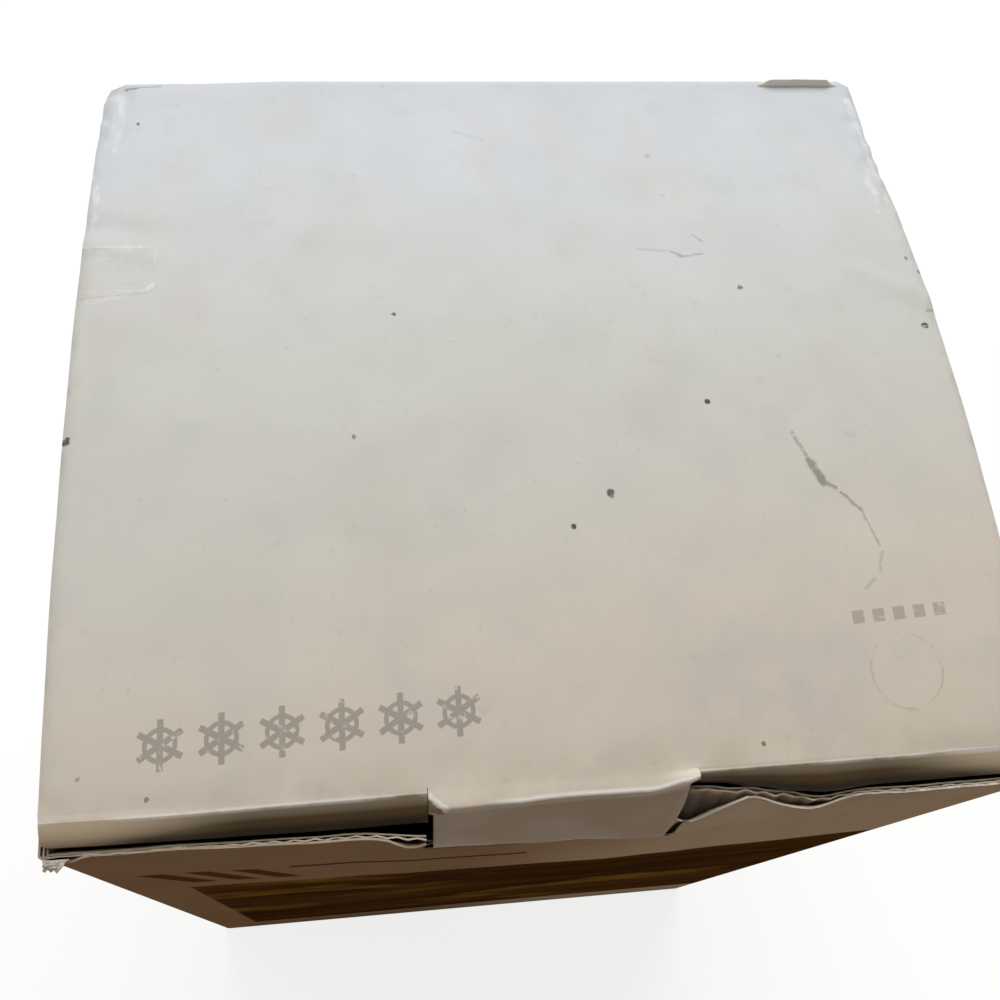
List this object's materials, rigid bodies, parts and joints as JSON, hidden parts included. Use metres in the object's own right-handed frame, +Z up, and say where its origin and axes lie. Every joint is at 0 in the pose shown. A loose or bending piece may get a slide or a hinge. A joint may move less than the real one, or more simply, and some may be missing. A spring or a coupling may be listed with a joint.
{
  "type": "boxed hand-cranked ice shaver",
  "caption": "Closed corrugated carton with an arched tuck lid and a lock tongue, holding a hand-cranked ice shaver with a stand, a clear ice chamber and a bowl.",
  "frame": {"origin": "centre of the carton bottom, between its four walls", "axes": "+Z up, -Y towards the printed front panel, +X to the right of a person facing the front"},
  "size_m": [0.176, 0.1661, 0.2775],
  "materials": {
    "printed_face": "white-lined board, satin varnish, printed",
    "white_board": "white-lined board, satin varnish, aged",
    "grey_liner": "uncoated recycled liner",
    "fluting": "uncoated fluting paper",
    "kraft_board": "plain brown corrugated board",
    "tape": "clear tape, slightly yellowed",
    "stand_plastic": "moulded, fine gloss",
    "cover_plastic": "moulded, fine gloss",
    "knob_plastic": "moulded, fine gloss",
    "bush_plastic": "turned, waxy",
    "clear_plastic": "clear moulded",
    "steel": "brushed",
    "chrome": "plated",
    "rubber": "moulded"
  },
  "bodies": {
    "carton": {"front_liner": "printed_face", "front_fluting": "fluting", "front_backing": "grey_liner", "back_panel": "white_board", "left_panel": "white_board", "right_panel": "white_board", "glue_flap": "white_board", "bottom_flap_front": "white_board", "bottom_flap_back": "white_board", "bottom_flap_left": "white_board", "bottom_flap_right": "white_board", "bottom_pad": "kraft_board", "packing_collar": "kraft_board", "stand": "stand_plastic", "rubber_feet": "rubber", "blade_plate": "steel", "blade_plate_screws": "steel", "blade": "steel", "blade_shim": "steel", "ice_chamber": "clear_plastic", "chamber_cover": "cover_plastic", "cover_bush": "bush_plastic", "serving_bowl": "clear_plastic"},
    "lid": {"lid_panel": "white_board", "clear_tape": "tape"},
    "tuck_flap": {"tuck_flap": "white_board"},
    "lock_tongue": {"lock_tongue": "white_board"},
    "dust_flap_left": {"dust_flap_left": "white_board"},
    "dust_flap_right": {"dust_flap_right": "white_board"},
    "adjuster": {"blade_adjuster": "cover_plastic"},
    "crank": {"drive_shaft": "steel", "presser_plate": "stand_plastic", "crank_arm": "chrome", "crank_nut": "chrome", "knob_pin": "steel"},
    "crank_knob": {"crank_knob": "knob_plastic"}
  },
  "joints": [
    {"name": "lid_hinge", "type": "hinge", "parent": "carton", "child": "lid", "pos_m": [0, 0.081, 0.27], "axis": [-1, 0, 0], "range_deg": [0, 175]},
    {"name": "tuck_fold", "type": "hinge", "parent": "lid", "child": "tuck_flap", "pos_m": [0, -0.07815, 0.26524], "axis": [-1, 0, 0], "range_deg": [0, 70]},
    {"name": "tongue_fold", "type": "hinge", "parent": "lid", "child": "lock_tongue", "pos_m": [0, -0.075, 0.27], "axis": [-1, 0, 0], "range_deg": [0, 90]},
    {"name": "dust_fold_left", "type": "hinge", "parent": "carton", "child": "dust_flap_left", "pos_m": [-0.088, 0, 0.2681], "axis": [0, -1, 0], "range_deg": [0, 87.5]},
    {"name": "dust_fold_right", "type": "hinge", "parent": "carton", "child": "dust_flap_right", "pos_m": [0.088, 0, 0.2681], "axis": [0, 1, 0], "range_deg": [0, 87.5]},
    {"name": "adjuster_turn", "type": "hinge", "parent": "carton", "child": "adjuster", "pos_m": [0, -0.06, 0.1079], "axis": [0, -1, 0], "range_deg": [0, 350]},
    {"name": "crank_turn", "type": "hinge", "parent": "carton", "child": "crank", "pos_m": [0, 0, 0.19], "axis": [0, 0, 1], "continuous": true},
    {"name": "knob_spin", "type": "hinge", "parent": "crank", "child": "crank_knob", "pos_m": [0.054, 0, 0.222], "axis": [0, 0, 1], "continuous": true}
  ],
  "couplings": [
    {"joint": "tuck_fold", "follows": "lid_hinge", "ratio": 0.4},
    {"joint": "dust_fold_left", "follows": "lid_hinge", "ratio": 0.5},
    {"joint": "dust_fold_right", "follows": "lid_hinge", "ratio": 0.5}
  ]
}
